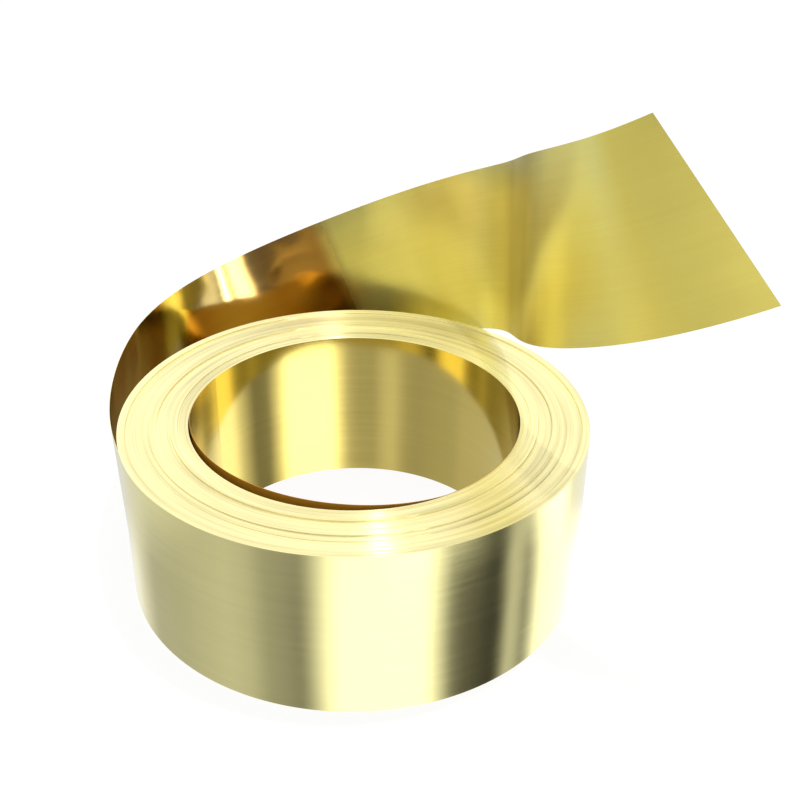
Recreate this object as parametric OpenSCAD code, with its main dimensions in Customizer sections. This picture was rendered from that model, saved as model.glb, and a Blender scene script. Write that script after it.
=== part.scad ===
// Roll of brass foil, standing on its end with its outer turn sprung loose.
// Millimetres. The origin is on the coil's axis at the level of the lower end,
// +Z runs up the axis and -Y is the front.

/* [Coil] */
// Width of the foil strip, which is the height of the standing coil
strip_w = 80; // [20:1:300]
// Diameter of the open bore
bore_d = 150; // [50:1:300]
// Outside diameter of the wound coil
coil_d = 212; // [80:1:600]

/* [Turns on the ends] */
// Number of bands of turns that show on each end
bands = 9; // [3:1:16]
// How far the highest band of turns has slipped up past the lowest
band_step = 0.8; // [0:0.05:2]
// Radial width of the innermost turns, which sit lowest
inner_w = 1.2; // [0.4:0.1:4]

/* [Loose end] */
// Thickness of one turn of foil
foil_t = 0.2; // [0.1:0.05:0.5]
// Depth inside the coil at which the loose turn starts
root_in = 1.2; // [0.4:0.1:3]
// How much lower the cut edges of the loose turn sit than those of the turn under it
edge_in = 0.1; // [0.05:0.05:0.5]
// Direction in which the loose turn starts, from +X
leave_az = 217.7; // [170:0.1:230]
// Length of the loose turn along its middle
tail_len = 580.7; // [100:1:900]
// Bend of the loose turn at even steps along it, as a share of the coil's own bend
tail_bend = [0.82, 0.71, 0.5, 1.03, 1.6, 1.18, 0.46, 0.99, 1.36, 0.19, -1.08, -1.17, -0.96];
// Slant of the bend lines at even steps along it, in degrees
tail_slant = [0, 11.9, 26.5, 14.3, -0.5, 7.5, 25.7, 35.8, 32.1, -9.9];
// Number of flat facets along the loose turn
tail_facets = 96; // [24:4:160]

/* [Looks] */
// Colour of the brass
brass = [0.86, 0.76, 0.42];

/* [Hidden] */
$fn = 180;

coil_r = coil_d / 2;
bore_r = bore_d / 2;
band_w = (coil_r - bore_r - inner_w) / bands;
fac_l = tail_len / tail_facets;
start_r = coil_r - root_in;

// Height that band i has slipped up, with about half of the bands on the floor
function band_up(i) = band_step * max(0, sin(i * 100 + 20));
start_z = strip_w / 2 + band_up(bands - 1);

// Value of an evenly spaced list at a share q of its span, from 0 to 1
function along(list, q) =
    let (p = q * (len(list) - 1), i = min(floor(p), len(list) - 2))
    list[i] + (list[i + 1] - list[i]) * (p - i);

// Vector v turned by angle a about the unit vector u
function turned(v, u, a) =
    v * cos(a) + cross(u, v) * sin(a) + u * (u * v) * (1 - cos(a));

// One fold of the strip: middle point, direction along and direction across
function fold_dir(s, slant) = s[2] + tan(slant) * s[1];
function next_fold(s, slant, bend) =
    let (d = fold_dir(s, slant), u = d / norm(d), t = turned(s[1], u, -bend))
    [s[0] + fac_l * t, t, turned(s[2], u, -bend)];

// All the folds from the coil outwards
start = [
    [start_r * cos(leave_az), start_r * sin(leave_az), start_z],
    [sin(leave_az), -cos(leave_az), 0],
    [0, 0, 1]
];
folds = [
    for (
        i = 0, s = start;
        i <= tail_facets;
        s = next_fold(s, along(tail_slant, i / tail_facets), step_bend(i)),
        i = i + 1
    ) [s, along(tail_slant, i / tail_facets)]
];
function step_bend(i) =
    along(tail_bend, i / tail_facets) * fac_l / coil_r * 180 / PI;

// Points of one fold: lower and upper edge on the inner face, then on the outer face
function fold_points(f) =
    let (
        d = fold_dir(f[0], f[1]) * (strip_w / 2 - edge_in),
        out = cross(f[0][2], f[0][1]) * foil_t / 2
    )
    [f[0][0] - d - out, f[0][0] + d - out, f[0][0] + d + out, f[0][0] - d + out];

// Profile of the wound coil, whose bands of turns have slipped up by small steps
module coil_profile() {
    for (i = [0 : bands - 1])
        translate([bore_r + inner_w + i * band_w, band_up(i)])
            square([band_w + (i < bands - 1 ? 0.01 : 0), strip_w]);
    translate([bore_r, 0])
        square([inner_w + 0.01, strip_w]);
}

// The wound turns as one ring with its bore
module coil() {
    rotate_extrude()
        coil_profile();
}

// The outer turn that has sprung loose and lifts away round the back
module loose_turn() {
    n = len(folds);
    pts = [for (f = folds) each fold_points(f)];
    sides = [
        for (i = [0 : n - 2], k = [0 : 3])
            [4 * i + k, 4 * i + (k + 1) % 4, 4 * i + 4 + (k + 1) % 4, 4 * i + 4 + k]
    ];
    ends = [[3, 2, 1, 0], [4 * n - 4, 4 * n - 3, 4 * n - 2, 4 * n - 1]];
    polyhedron(points = pts, faces = concat(sides, ends), convexity = 6);
}

// Coil and loose turn are one unbroken strip
module foil_roll() {
    color(brass) {
        coil();
        loose_turn();
    }
}

foil_roll();
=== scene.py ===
import math

import bpy
from mathutils import Matrix, Vector


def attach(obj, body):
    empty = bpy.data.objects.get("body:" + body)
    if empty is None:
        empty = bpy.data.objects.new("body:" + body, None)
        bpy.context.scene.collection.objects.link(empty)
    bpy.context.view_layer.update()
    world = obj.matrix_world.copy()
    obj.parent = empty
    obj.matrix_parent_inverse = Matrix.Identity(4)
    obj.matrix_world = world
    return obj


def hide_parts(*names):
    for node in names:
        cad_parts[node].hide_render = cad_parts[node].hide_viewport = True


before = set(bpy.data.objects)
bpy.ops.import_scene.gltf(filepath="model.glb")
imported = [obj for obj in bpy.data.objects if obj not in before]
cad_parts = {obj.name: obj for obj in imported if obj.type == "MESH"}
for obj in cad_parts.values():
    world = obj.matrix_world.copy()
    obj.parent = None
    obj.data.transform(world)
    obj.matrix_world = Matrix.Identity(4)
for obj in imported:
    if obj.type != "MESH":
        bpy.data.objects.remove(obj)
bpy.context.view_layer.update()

# Wound turns. About 150 turns of brass foil lie tight on one another, so they
# are one heavy ring with an open bore. Their cut edges show as fine rings on
# both ends, and bands of turns have slipped up a little past their neighbours.
STRIP_W = 0.080
BORE_R = 0.075
COIL_R = 0.106
INNER_W = 0.0012
BANDS = 9
BAND_STEP = 0.0008
BAND_TURN = 100.0
BAND_START = 20.0
TURN_GROUPS = 46
GROOVE = 0.00004
TURN_SLIP = 0.00008
GROUP_POINTS = 3.0
CREST_SHARE = 0.38
WALL_SHARE = 0.6
SEGMENTS = 256
SEED = 4
WELD = 0.000002
SHARP_FROM = math.radians(40)


def place(tree, kind, inputs=(), **settings):
    """One node: its settings, then its input values or the sockets linked to them."""
    made = tree.nodes.new(kind)
    for key, value in settings.items():
        setattr(made, key, value)
    for key, value in dict(inputs).items():
        if isinstance(value, bpy.types.NodeSocket):
            tree.links.new(value, made.inputs[key])
        else:
            made.inputs[key].default_value = value
    return made


def sums(tree, operation, *values):
    """One Math node on numbers or sockets."""
    return place(tree, "ShaderNodeMath", enumerate(values), operation=operation).outputs[0]


def turns_tree():
    """Geometry nodes that lathe the ring, with one crest for each group of turns."""
    tree = bpy.data.node_groups.new("wound turns", "GeometryNodeTree")

    def calc(operation, *values):
        return sums(tree, operation, *values)

    sizes = (
        ("Strip Width", STRIP_W), ("Bore Radius", BORE_R), ("Coil Radius", COIL_R),
        ("Inner Width", INNER_W), ("Band Step", BAND_STEP), ("Bands", float(BANDS)),
        ("Turn Groups", float(TURN_GROUPS)), ("Groove", GROOVE), ("Turn Slip", TURN_SLIP),
    )
    sockets = tree.interface
    for name, value in sizes:
        made = sockets.new_socket(name, in_out="INPUT", socket_type="NodeSocketFloat")
        made.default_value = value
    for name, value in (("Segments", SEGMENTS), ("Seed", SEED)):
        made = sockets.new_socket(name, in_out="INPUT", socket_type="NodeSocketInt")
        made.default_value = value
    for name in ("End Finish", "Wall Finish"):
        sockets.new_socket(name, in_out="INPUT", socket_type="NodeSocketMaterial")
    sockets.new_socket("Geometry", in_out="OUTPUT", socket_type="NodeSocketGeometry")
    given = place(tree, "NodeGroupInput").outputs

    # A flat grid: X goes once round the ring, Y steps along the closed profile,
    # out over the upper end and back under the lower one.
    across = calc("MULTIPLY", given["Turn Groups"], GROUP_POINTS)
    points = calc("MULTIPLY_ADD", across, 2.0, 2.0)
    grid = place(tree, "GeometryNodeMeshGrid", {
        "Size X": 1.0, "Size Y": points,
        "Vertices X": calc("ADD", given["Segments"], 1.0),
        "Vertices Y": calc("ADD", points, 1.0),
    })
    position = place(tree, "GeometryNodeInputPosition").outputs[0]
    flat = place(tree, "ShaderNodeSeparateXYZ", {0: position}).outputs
    angle = calc("MULTIPLY", calc("ADD", flat["X"], 0.5), math.tau)
    step = calc("FLOORED_MODULO",
                calc("ROUND", calc("MULTIPLY_ADD", points, 0.5, flat["Y"])), points)
    under = calc("GREATER_THAN", step, calc("ADD", across, 0.5))
    over = calc("SUBTRACT", 1.0, under)
    back = calc("SUBTRACT", calc("SUBTRACT", points, 1.0), step)
    out_step = calc("ADD", calc("MULTIPLY", step, over), calc("MULTIPLY", back, under))

    # Each group of turns has a groove point and two crest points.
    wall = calc("SUBTRACT", given["Coil Radius"], given["Bore Radius"])
    group = calc("FLOOR", calc("DIVIDE", calc("ADD", out_step, 0.1), GROUP_POINTS))
    part = calc("SUBTRACT", out_step, calc("MULTIPLY", group, GROUP_POINTS))
    share = calc("DIVIDE", calc("ADD", group, calc("MULTIPLY", part, CREST_SHARE)),
                 given["Turn Groups"])
    radius = calc("MULTIPLY_ADD", share, wall, given["Bore Radius"])

    # Bands of turns have slipped up by a sine rule, which turns by the same angle from
    # one band to the next. The innermost turns sit lowest.
    middle = calc("MULTIPLY", calc("DIVIDE", calc("ADD", group, 0.5), given["Turn Groups"]), wall)
    outward = calc("SUBTRACT", middle, given["Inner Width"])
    banded = calc("SUBTRACT", wall, given["Inner Width"])
    band = calc("MINIMUM",
                calc("FLOOR", calc("MULTIPLY", calc("DIVIDE", outward, banded), given["Bands"])),
                calc("SUBTRACT", given["Bands"], 1.0))
    rule = calc("SINE", calc("RADIANS", calc("MULTIPLY_ADD", band, BAND_TURN, BAND_START)))
    lift = calc("MULTIPLY", given["Band Step"], calc("MAXIMUM", 0.0, rule))
    lift = calc("MULTIPLY", lift, calc("GREATER_THAN", outward, 0.0))
    slip = place(tree, "FunctionNodeRandomValue",
                 {"Min": 0.0, "Max": 1.0, "ID": group, "Seed": given["Seed"]},
                 data_type="FLOAT").outputs["Value"]
    drop = calc("ADD", calc("MULTIPLY", slip, given["Turn Slip"]),
                calc("MULTIPLY", given["Groove"], calc("LESS_THAN", part, 0.5)))
    top = calc("SUBTRACT", calc("ADD", given["Strip Width"], lift), drop)
    bottom = calc("MAXIMUM", calc("ADD", lift, drop), 0.0)
    height = calc("ADD", calc("MULTIPLY", top, over), calc("MULTIPLY", bottom, under))

    spot = place(tree, "ShaderNodeCombineXYZ", {
        "X": calc("MULTIPLY", radius, calc("COSINE", angle)),
        "Y": calc("MULTIPLY", radius, calc("SINE", angle)),
        "Z": height,
    }).outputs[0]
    lathed = place(tree, "GeometryNodeSetPosition",
                   {"Geometry": grid.outputs["Mesh"], "Position": spot}).outputs[0]
    closed = place(tree, "GeometryNodeMergeByDistance",
                   {"Geometry": lathed, "Distance": WELD}).outputs[0]
    outside = place(tree, "GeometryNodeFlipFaces", {"Mesh": closed}).outputs[0]
    smooth = place(tree, "GeometryNodeSetShadeSmooth", {"Geometry": outside}).outputs[0]

    # The upright walls are the faces whose middle is near the strip's middle.
    position = place(tree, "GeometryNodeInputPosition").outputs[0]
    z = place(tree, "ShaderNodeSeparateXYZ", {0: position}).outputs["Z"]
    half = calc("MULTIPLY", given["Strip Width"], 0.5)
    walls = calc("LESS_THAN", calc("ABSOLUTE", calc("SUBTRACT", z, half)),
                 calc("MULTIPLY", half, WALL_SHARE))
    real = place(tree, "GeometryNodeRealizeInstances", {"Geometry": smooth}).outputs[0]
    ends = place(tree, "GeometryNodeSetMaterial",
                 {"Geometry": real, "Material": given["End Finish"]}).outputs[0]
    done = place(tree, "GeometryNodeSetMaterial", {
        "Geometry": ends, "Selection": walls, "Material": given["Wall Finish"]}).outputs[0]
    place(tree, "NodeGroupOutput", {"Geometry": done})
    return tree


def grain_group():
    """Shader nodes for the fine streaks that the rolls leave along the foil."""
    tree = bpy.data.node_groups.new("rolled grain", "ShaderNodeTree")
    sockets = tree.interface
    for name, kind, value in (
        ("Place", "NodeSocketVector", (0, 0, 0)), ("Colour", "NodeSocketColor", (1, 1, 1, 1)),
        ("Tint", "NodeSocketFloat", 0.05), ("Roughness", "NodeSocketFloat", 0.2),
        ("Wear", "NodeSocketFloat", 0.05), ("Depth", "NodeSocketFloat", 0.000002),
        ("Fineness", "NodeSocketFloat", 2500.0), ("Length", "NodeSocketFloat", 9.0),
        ("Waviness", "NodeSocketFloat", 0.0002), ("Swells", "NodeSocketFloat", 28.0),
    ):
        sockets.new_socket(name, in_out="INPUT", socket_type=kind).default_value = value
    for name, kind in (("Colour", "NodeSocketColor"), ("Roughness", "NodeSocketFloat"),
                       ("Normal", "NodeSocketVector")):
        sockets.new_socket(name, in_out="OUTPUT", socket_type=kind)
    given = place(tree, "NodeGroupInput").outputs

    def streaks(share):
        """Noise drawn out along the strip, at a share of the full fineness."""
        size = place(tree, "ShaderNodeCombineXYZ", {
            "X": given["Length"], "Y": given["Length"],
            "Z": sums(tree, "MULTIPLY", given["Fineness"], share),
        }).outputs[0]
        spot = place(tree, "ShaderNodeVectorMath", {0: given["Place"], 1: size},
                     operation="MULTIPLY").outputs[0]
        return place(tree, "ShaderNodeTexNoise",
                     {"Vector": spot, "Scale": 1.0, "Detail": 3.0}).outputs["Fac"]

    fine, broad = streaks(1.0), streaks(0.12)
    both = sums(tree, "SUBTRACT", sums(tree, "ADD", fine, broad), 1.0)
    bright = sums(tree, "MULTIPLY_ADD", both, given["Tint"], 1.0)
    colour = place(tree, "ShaderNodeVectorMath", {0: given["Colour"], "Scale": bright},
                   operation="SCALE").outputs[0]
    worn = sums(tree, "MULTIPLY_ADD", both, given["Wear"], given["Roughness"])
    swell = place(tree, "ShaderNodeTexNoise", {
        "Vector": given["Place"], "Scale": given["Swells"], "Detail": 1.0}).outputs["Fac"]
    wavy = place(tree, "ShaderNodeBump", {
        "Height": swell, "Distance": given["Waviness"], "Strength": 1.0}).outputs[0]
    normal = place(tree, "ShaderNodeBump", {
        "Height": fine, "Distance": given["Depth"], "Strength": 1.0, "Normal": wavy}).outputs[0]
    place(tree, "NodeGroupOutput", {"Colour": colour, "Roughness": worn, "Normal": normal})
    return tree


GRAIN = grain_group()


def brass(name, laid, colour, tangent, shine, **grain):
    """Brass with rolled grain.

    laid makes the grain's place and colour in this material's nodes, shine holds the
    shader's own values, and grain holds the inputs of the grain."""
    made = bpy.data.materials.new(name)
    made.use_nodes = True
    tree = made.node_tree
    shader = tree.nodes["Principled BSDF"]
    for key, value in {"Metallic": 1.0, **shine}.items():
        shader.inputs[key].default_value = value
    worked = place(tree, "ShaderNodeGroup", {**grain, **laid(tree, colour)}, node_tree=GRAIN)
    for ours, theirs in (("Colour", "Base Color"), ("Roughness", "Roughness"),
                         ("Normal", "Normal")):
        tree.links.new(worked.outputs[ours], shader.inputs[theirs])
    if tangent == "round":
        line = place(tree, "ShaderNodeTangent", direction_type="RADIAL", axis="Z")
    else:
        line = place(tree, "ShaderNodeTangent", direction_type="UV_MAP", uv_map=tangent)
    tree.links.new(line.outputs[0], shader.inputs["Tangent"])
    return made


def mixed(tree, share, first, second):
    """One mix of two colours."""
    return place(tree, "ShaderNodeMix", {0: share, 6: first, 7: second},
                 data_type="RGBA").outputs[2]


def spot_and_radius(tree):
    """The spot on the roll and its distance from the bore's axis."""
    spot = place(tree, "ShaderNodeTexCoord").outputs["Object"]
    flat = place(tree, "ShaderNodeVectorMath", {0: spot, 1: (1, 1, 0)},
                 operation="MULTIPLY").outputs[0]
    return spot, place(tree, "ShaderNodeVectorMath", {0: flat},
                       operation="LENGTH").outputs["Value"]


BRASS = (0.82, 0.76, 0.36)
# Deeper gold painted on the bore's faces, as the shade and reflections inside the bore.
BORE_PAINTED_SHADE = (0.60, 0.485, 0.14)
EDGE_BRASS = (0.92, 0.83, 0.41)


def on_wall(tree, colour):
    """Place for upright faces, with a deeper gold painted inside the bore as its shade and inner
    reflections.
    """
    spot, radius = spot_and_radius(tree)
    outside = sums(tree, "GREATER_THAN", radius, (BORE_R + COIL_R) / 2)
    return {"Place": spot, "Colour": mixed(tree, outside, (*BORE_PAINTED_SHADE, 1), (*colour, 1))}


def on_turns(tree, colour):
    """Place for the ends, where the radius runs across the turns."""
    spot, radius = spot_and_radius(tree)
    parts = place(tree, "ShaderNodeSeparateXYZ", {0: spot}).outputs
    spot = place(tree, "ShaderNodeCombineXYZ",
                 {"X": parts["X"], "Y": parts["Y"], "Z": radius}).outputs[0]
    return {"Place": spot, "Colour": (*colour, 1)}


wall_brass = brass("wall_brass", on_wall, BRASS, "round", {"Anisotropic": 0.5},
                   Roughness=0.12, Tint=0.10)
end_brass = brass("turn_edges", on_turns, EDGE_BRASS, "round",
                  {"Metallic": 0.5, "Anisotropic": 1.0, "Anisotropic Rotation": 0.25},
                  Roughness=0.26, Tint=0.9, Depth=0.00001, Fineness=900.0)

holder = bpy.data.objects.new("holder", bpy.data.meshes.new("holder"))
bpy.context.scene.collection.objects.link(holder)
lathe = holder.modifiers.new("turns", "NODES")
lathe.node_group = turns_tree()
finishes = {"End Finish": end_brass, "Wall Finish": wall_brass}
for item in lathe.node_group.interface.items_tree:
    if item.name in finishes:
        lathe[item.identifier] = finishes[item.name]
bpy.context.view_layer.update()
lathed = holder.evaluated_get(bpy.context.evaluated_depsgraph_get())
coil_mesh = bpy.data.meshes.new_from_object(lathed)
bpy.data.objects.remove(holder)
coil_mesh.set_sharp_from_angle(angle=SHARP_FROM)
coil = bpy.data.objects.new("wound_turns", coil_mesh)
bpy.context.scene.collection.objects.link(coil)
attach(coil, "root")
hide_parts("foil_roll")

# Loose turn. The outer turn of the same foil has sprung off the coil, stands
# out round the back and rises over the right-hand side to its cut end. It is
# one springy sheet, so it only bends along straight lines across it.
FOIL_T = 0.0002
EDGE_IN = 0.0001
START_R = 0.1048
LEAVE_AZ = math.radians(217.7)
TAIL_LEN = 0.5807
TAIL_BEND = (0.82, 0.71, 0.5, 1.03, 1.6, 1.18, 0.46, 0.99, 1.36, 0.19, -1.08, -1.17, -0.96)
TAIL_SLANT = (0, 11.9, 26.5, 14.3, -0.5, 7.5, 25.7, 35.8, 32.1, -9.9)
FACETS = 96
FOLDS = 384
ACROSS = 16

# Colours of its inner face, from the brown of the narrow gap to the open end. All but the gold at
# the open end are painted light: the brown is painted shade and reflection of the coil in the
# gap, and the bright, pale and dull bands are painted highlights and shade along the turn.
WARM_PAINTED_REFLECTION = (0.74, 0.55, 0.20)
DEEP_PAINTED_SHADE = (0.50, 0.28, 0.075)
BRIGHT_PAINTED_SHEEN = (1.0, 0.94, 0.34)
PALE_PAINTED_REFLECTION = (0.90, 0.82, 0.26)
DULL_PAINTED_SHADE = (0.64, 0.55, 0.14)
GOLD_BRASS = (0.98, 0.84, 0.20)


def along(values, share):
    """The value at a share of the way through evenly spaced values."""
    spot = share * (len(values) - 1)
    i = min(int(spot), len(values) - 2)
    return values[i] + (values[i + 1] - values[i]) * (spot - i)


def strip_mesh(name, lines):
    """A thin closed sheet from (lower point, upper point, outward normal) across it.

    Material 0 is on the face towards the coil's axis and material 1 on the rest. The
    UV map "strip" runs along it and across it."""
    n, cols = len(lines), ACROSS + 1
    side_points = n * cols
    verts = [low.lerp(high, c / ACROSS) + out * side * FOIL_T / 2
             for side in (-1, 1) for low, high, out in lines for c in range(cols)]

    def inner(i, c):
        return i * cols + c

    def outer(i, c):
        return side_points + i * cols + c

    faces = []
    for i in range(n - 1):
        for c in range(ACROSS):
            faces.append((inner(i, c), inner(i + 1, c), inner(i + 1, c + 1), inner(i, c + 1)))
            faces.append((outer(i, c), outer(i, c + 1), outer(i + 1, c + 1), outer(i + 1, c)))
        faces.append((inner(i, 0), outer(i, 0), outer(i + 1, 0), inner(i + 1, 0)))
        faces.append((inner(i, ACROSS), inner(i + 1, ACROSS),
                      outer(i + 1, ACROSS), outer(i, ACROSS)))
    for c in range(ACROSS):
        faces.append((inner(0, c), inner(0, c + 1), outer(0, c + 1), outer(0, c)))
        faces.append((inner(n - 1, c), outer(n - 1, c),
                      outer(n - 1, c + 1), inner(n - 1, c + 1)))
    made = bpy.data.meshes.new(name)
    made.from_pydata(verts, [], faces)
    made.polygons.foreach_set("material_index", [int(max(f) >= side_points) for f in faces])
    uv = made.uv_layers.new(name="strip")
    for loop in made.loops:
        k = loop.vertex_index % side_points
        uv.data[loop.index].uv = ((k // cols) / (n - 1), (k % cols) / ACROSS)
    made.shade_smooth()
    made.set_sharp_from_angle(angle=SHARP_FROM)
    return made


def loose_lines():
    """Lines across the loose turn, folded step by step from the coil outwards."""
    fold = TAIL_LEN / FOLDS
    slipped = BAND_STEP * math.sin(math.radians((BANDS - 1) * BAND_TURN + BAND_START))
    middle = Vector((START_R * math.cos(LEAVE_AZ), START_R * math.sin(LEAVE_AZ),
                     STRIP_W / 2 + slipped))
    ahead = Vector((math.sin(LEAVE_AZ), -math.cos(LEAVE_AZ), 0))
    across = Vector((0, 0, 1))

    # The solid has fewer and longer folds, so this one turns a little before its first.
    lead = TAIL_BEND[0] * (TAIL_LEN / FACETS - fold) / 2 / COIL_R
    ahead = Matrix.Rotation(-lead, 3, "Z") @ ahead
    for i in range(FOLDS + 1):
        line = across + ahead * math.tan(math.radians(along(TAIL_SLANT, i / FOLDS)))
        reach = line * (STRIP_W / 2 - EDGE_IN)
        yield middle - reach, middle + reach, across.cross(ahead)
        bend = along(TAIL_BEND, i / FOLDS) * fold / COIL_R
        turned = Matrix.Rotation(-bend, 3, line.normalized())
        ahead, across = turned @ ahead, turned @ across
        middle = middle + ahead * fold


def grey(level):
    """A colour with no hue."""
    return (level,) * 3


def ramp(tree, value, stops):
    """One Color Ramp through (position, colour) stops."""
    made = place(tree, "ShaderNodeValToRGB", {"Fac": value})
    elements = made.color_ramp.elements
    while len(elements) < len(stops):
        elements.new(0.5)
    for element, (position, colour) in zip(elements, stops):
        element.position = position
        element.color = (*colour, 1)
    return made.outputs["Color"]


def on_strip(tree, colour):
    """Place along and across the strip, with painted shade and highlights in its colour along it:
    browner in the gap behind the coil, where it is also shinier.
    """
    uv = place(tree, "ShaderNodeUVMap", uv_map="strip").outputs[0]
    parts = place(tree, "ShaderNodeSeparateXYZ", {0: uv}).outputs
    spot = place(tree, "ShaderNodeCombineXYZ", {
        "X": sums(tree, "MULTIPLY", parts["X"], TAIL_LEN),
        "Z": sums(tree, "MULTIPLY", parts["Y"], STRIP_W),
    }).outputs[0]
    # This ramp paints shade, highlights and reflections along the strip, ending in the turn's own
    # gold.
    shade = ramp(tree, parts["X"], [
        (0.0, WARM_PAINTED_REFLECTION), (0.36, WARM_PAINTED_REFLECTION), (0.42, DEEP_PAINTED_SHADE), (0.475, DEEP_PAINTED_SHADE),
        (0.495, BRIGHT_PAINTED_SHEEN), (0.56, BRIGHT_PAINTED_SHEEN), (0.585, PALE_PAINTED_REFLECTION), (0.62, PALE_PAINTED_REFLECTION),
        (0.66, BRIGHT_PAINTED_SHEEN), (0.70, PALE_PAINTED_REFLECTION), (0.735, DULL_PAINTED_SHADE), (0.80, DULL_PAINTED_SHADE),
        (0.845, BRIGHT_PAINTED_SHEEN), (0.92, BRIGHT_PAINTED_SHEEN), (0.945, colour), (1.0, colour)])
    rough = ramp(tree, parts["X"], [
        (0.0, grey(0.12)), (0.46, grey(0.12)), (0.4845, grey(0.22)), (0.4850, grey(0.30)),
        (0.68, grey(0.36)), (1.0, grey(0.36))])
    return {"Place": spot, "Colour": shade, "Roughness": rough}


def on_sheet(tree, colour):
    """Place for one turn on its own, in one colour all over."""
    return {"Place": place(tree, "ShaderNodeTexCoord").outputs["Object"],
            "Colour": (*colour, 1)}


loose_brass = brass("loose_brass", on_strip, GOLD_BRASS, "strip", {"Anisotropic": 0.5},
                    Tint=0.10, Waviness=0.001)
loose_outer = brass("loose_outer_face", on_sheet, BRASS, "round", {"Anisotropic": 0.5},
                    Roughness=0.12, Tint=0.10)
tail_mesh = strip_mesh("loose_turn", list(loose_lines()))
tail_mesh.materials.append(loose_brass)
tail_mesh.materials.append(loose_outer)
tail = bpy.data.objects.new("loose_turn", tail_mesh)
bpy.context.scene.collection.objects.link(tail)
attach(tail, "root")
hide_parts("foil_roll")

# Inner lap. The first turn of the same foil has crept inwards at the front left,
# where nothing holds it to the bore, so a narrow gap shows between it and the
# turn outside it. It lies against the bore on both sides of the gap.
LAP_FROM = math.radians(153)
LAP_LEAVES = math.radians(178)
LAP_JOINS = math.radians(300)
LAP_TO = math.radians(330)
LAP_GAP = 0.0050
LAP_SKEW = 1.15
LAP_FULLNESS = 1.2
LAP_FOOT = 0.0002
LAP_STEPS = 120
# Brown painted on the lap's outer face, as the shade and reflections in the narrow gap.
LAP_PAINTED_SHADE = (0.60, 0.29, 0.02)


def lap_lines():
    """Upright lines across the lap, from where it lies on the bore back to its free end."""
    for i in range(LAP_STEPS + 1):
        az = LAP_TO + (LAP_FROM - LAP_TO) * i / LAP_STEPS
        share = min(1, max(0, (az - LAP_LEAVES) / (LAP_JOINS - LAP_LEAVES)))
        crept = LAP_GAP * math.sin(math.pi * share ** LAP_SKEW) ** LAP_FULLNESS
        out = Vector((math.cos(az), math.sin(az), 0))
        spot = out * (BORE_R - FOIL_T - crept)
        yield spot + Vector((0, 0, LAP_FOOT)), spot + Vector((0, 0, STRIP_W - EDGE_IN)), out


# The lap's inner face, in the bore, takes the same painted shade and reflections.
lap_in = brass("lap_inner_face", on_sheet, BORE_PAINTED_SHADE, "round", {"Anisotropic": 0.6},
               Roughness=0.18, Tint=0.10)
# The outer face takes the painted shade of the gap.
lap_out = brass("lap_outer_face", on_sheet, LAP_PAINTED_SHADE, "round", {"Metallic": 0.3},
                Roughness=0.5)
lap_mesh = strip_mesh("inner_lap", list(lap_lines()))
lap_mesh.materials.append(lap_in)
lap_mesh.materials.append(lap_out)
lap = bpy.data.objects.new("inner_lap", lap_mesh)
bpy.context.scene.collection.objects.link(lap)
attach(lap, "root")
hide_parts("foil_roll")

# Floor. A plain sheet of white paper lies under the roll and keeps its soft shadow.
# Most of its white is a glow of its own, and the brass doesn't mirror it.
PAPER_HALF = 6
PAPER = (0.9, 0.9, 0.9, 1)
WHITE = (1, 1, 1, 1)
PAPER_GLOW = 1.06
GLOW_SHARE = 0.8
paper_mesh = bpy.data.meshes.new("floor")
corners = [(x * PAPER_HALF, y * PAPER_HALF, 0) for x, y in ((-1, -1), (1, -1), (1, 1), (-1, 1))]
paper_mesh.from_pydata(corners, [], [(0, 1, 2, 3)])
floor = bpy.data.objects.new("floor", paper_mesh)
bpy.context.scene.collection.objects.link(floor)
paper = bpy.data.materials.new("paper")
paper.use_nodes = True
tree = paper.node_tree
tree.nodes.clear()
matt = place(tree, "ShaderNodeBsdfDiffuse", {"Color": PAPER}).outputs[0]
glow = place(tree, "ShaderNodeEmission", {"Color": WHITE, "Strength": PAPER_GLOW}).outputs[0]
both = place(tree, "ShaderNodeMixShader", {0: GLOW_SHARE, 1: matt, 2: glow}).outputs[0]
place(tree, "ShaderNodeOutputMaterial", {"Surface": both})
paper_mesh.materials.append(paper)
floor.visible_glossy = False

# Studio. Bright cloth with dark cards between stands all round, and the brass
# mirrors it, while the camera itself sees plain white. There are five rows: near
# and far low down, level and cloth round the roll, and above.
world = bpy.data.worlds.new("studio")
bpy.context.scene.world = world
world.use_nodes = True
tree = world.node_tree
tree.nodes.clear()
generated = place(tree, "ShaderNodeTexCoord").outputs["Generated"]
way = place(tree, "ShaderNodeSeparateXYZ", {0: generated}).outputs
azimuth = sums(tree, "ARCTAN2", way["X"], sums(tree, "MULTIPLY", way["Y"], -1.0))
round_share = sums(tree, "MULTIPLY_ADD", azimuth, 1 / math.tau, 0.5)


def row(*stops):
    """One row of cloth and cards all the way round, from (degrees, brightness) stops.

    Nought degrees is on the camera's side and 90 on the right."""
    return ramp(tree, round_share, [(at / 360 + 0.5, grey(level)) for at, level in stops])


near = row(
    (-180, 1.0), (-145, 1.0), (-134, 0.78), (-121, 0.51), (-97, 0.53), (-67, 0.66), (-55, 0.60),
    (-45, 0.41), (-36, 0.35), (-28, 0.26), (-23, 0.50), (-14, 1.40), (-8, 1.90), (34, 1.90),
    (40, 1.10), (48, 0.26), (54, 0.14), (73, 0.04), (77, 0.13), (83, 0.70), (88, 0.60),
    (93, 0.28), (98, 0.60), (105, 1.6), (180, 1.6))
far = row(
    (-180, 0.8), (-121, 0.8), (-88, 0.75), (-78, 0.64), (-66, 0.62), (-48, 0.56), (-40, 0.60),
    (-35, 0.74), (-29, 1.0), (-22, 0.9), (-14, 0.60), (-2, 0.62), (5, 0.8), (12, 1.7), (18, 3.4),
    (51, 3.4), (56, 1.9), (62, 1.0), (68, 0.36), (80, 0.30), (89, 0.85), (94, 1.2), (102, 2.0),
    (118, 2.0), (130, 1.0), (180, 0.9))
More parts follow.
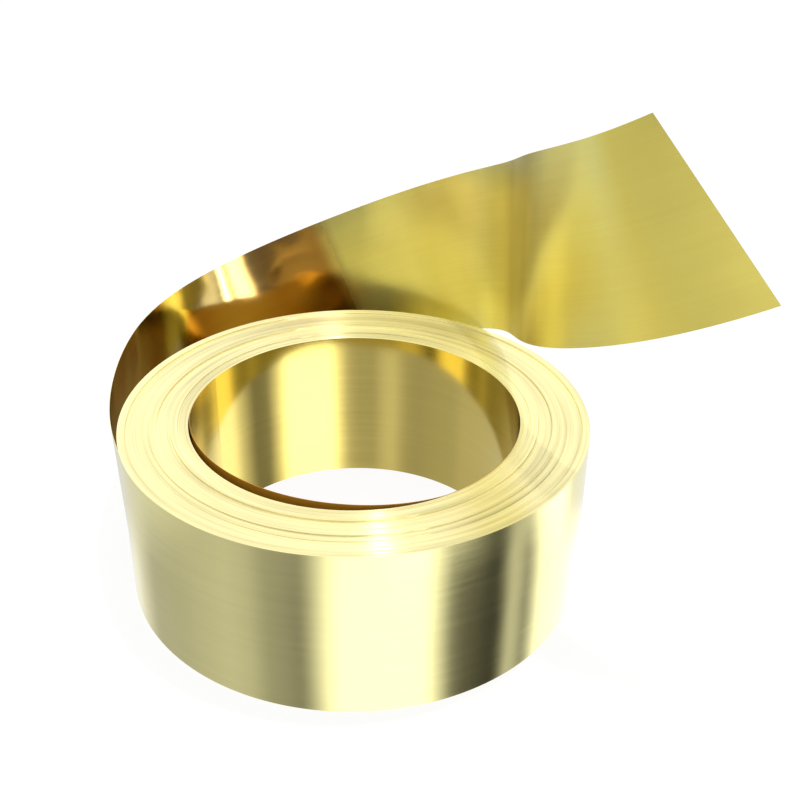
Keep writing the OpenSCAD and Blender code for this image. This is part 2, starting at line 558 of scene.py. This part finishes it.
level = row(
    (-180, 0.8), (-160, 0.5), (-145, 0.3), (-105, 0.3), (-80, 0.5), (-60, 0.5), (-38, 0.37),
    (-31, 0.37), (-25, 0.7), (-18, 0.9), (60, 0.9), (85, 0.25), (125, 0.25), (150, 0.8),
    (180, 0.9))
cloth = row(
    (-180, 1.2), (-120, 1.0), (-80, 0.5), (-50, 0.26), (5, 0.24), (10, 4.5), (24, 4.5),
    (26, 0.5), (29, 0.5), (30.5, 8.0), (33, 8.0), (35, 0.3), (38, 0.4), (42, 1.2), (51, 1.1),
    (57, 0.3), (120, 0.3), (180, 1.2))
above = row(
    (-180, 1.25), (-110, 1.05), (-60, 0.85), (0, 0.75), (60, 0.85), (120, 1.05), (180, 1.25))

# The rows meet at these heights, in degrees above level, over this soft half-width.
rise = sums(tree, "MULTIPLY", sums(tree, "ARCSINE", way["Z"]), 180 / math.pi)
studio = near
for upper, edge, soft in ((far, -36, 1.5), (level, -25, 3), (cloth, -11, 3), (above, 22, 4)):
    share = place(tree, "ShaderNodeMapRange", {
        "Value": rise, "From Min": edge - soft, "From Max": edge + soft,
        "To Min": 0.0, "To Max": 1.0}).outputs[0]
    studio = mixed(tree, share, studio, upper)
mirrored = place(tree, "ShaderNodeBackground", {"Color": studio, "Strength": 1.0}).outputs[0]
backdrop = place(tree, "ShaderNodeBackground", {"Color": WHITE, "Strength": 1.0}).outputs[0]
seen = place(tree, "ShaderNodeLightPath").outputs["Is Camera Ray"]
both = place(tree, "ShaderNodeMixShader", {0: seen, 1: mirrored, 2: backdrop}).outputs[0]
place(tree, "ShaderNodeOutputWorld", {"Surface": both})

# Overhead lamp. A small lamp hangs above the roll and is aimed at the middle of
# its upper end, where it draws the fine bright lines across the turns.
lamp_data = bpy.data.lights.new("overhead", "AREA")
lamp_data.energy = 5
lamp_data.color = (1.0, 0.94, 0.97)
lamp_data.size = 0.04
lamp = bpy.data.objects.new("overhead", lamp_data)
lamp.location = (0.12, 0.0, 1.28)
aim = Vector((0, 0, STRIP_W)) - lamp.location
lamp.rotation_euler = aim.to_track_quat("-Z", "Y").to_euler()
bpy.context.scene.collection.objects.link(lamp)

# Card in the gap. A narrow upright lamp behind the coil stands for the light that
# goes to and fro between the coil and the loose turn. It lights the loose turn alone.
CARD_R = 0.1125
CARD_AZ = math.radians(95)
CARD_Z = 0.080
CARD_FACING = math.radians(-15)
CARD_GLOW = 0.75
card_data = bpy.data.lights.new("card_in_gap", "AREA")
card_data.shape = "RECTANGLE"
card_data.size = 0.017
card_data.size_y = 0.100
card_data.color = (0.85, 0.75, 0.50)
card_data.energy = CARD_GLOW * math.pi * card_data.size * card_data.size_y
card_data.spread = math.radians(110)
card = bpy.data.objects.new("card_in_gap", card_data)
card.location = (CARD_R * math.cos(CARD_AZ), CARD_R * math.sin(CARD_AZ), CARD_Z)
facing = Vector((math.cos(CARD_FACING), math.sin(CARD_FACING), 0))
card.rotation_euler = facing.to_track_quat("-Z", "Y").to_euler()
card.visible_camera = False
card.light_linking.receiver_collection = bpy.data.collections.new("lit_by_card")
card.light_linking.receiver_collection.objects.link(tail)
bpy.context.scene.collection.objects.link(card)

# Camera. It stands in front of the roll, a little over four coil radii away, and
# looks down into the bore.
CAMERA_BACK = 4.2347 * COIL_R
CAMERA_UP = 2.5380 * COIL_R + 0.0808
LOOK_DOWN = math.radians(30.338)
LOOK_RIGHT = math.radians(2.602)
LEAN = math.radians(0.797)
lens = bpy.data.cameras.new("camera")
lens.lens = 51.75
camera = bpy.data.objects.new("camera", lens)
camera.matrix_world = (Matrix.Translation((0, -CAMERA_BACK, CAMERA_UP))
                       @ Matrix.Rotation(-LOOK_RIGHT, 4, "Z")
                       @ Matrix.Rotation(math.pi / 2 - LOOK_DOWN, 4, "X")
                       @ Matrix.Rotation(LEAN, 4, "Z"))
bpy.context.scene.collection.objects.link(camera)
bpy.context.scene.camera = camera
bpy.context.scene.view_settings.view_transform = "Standard"
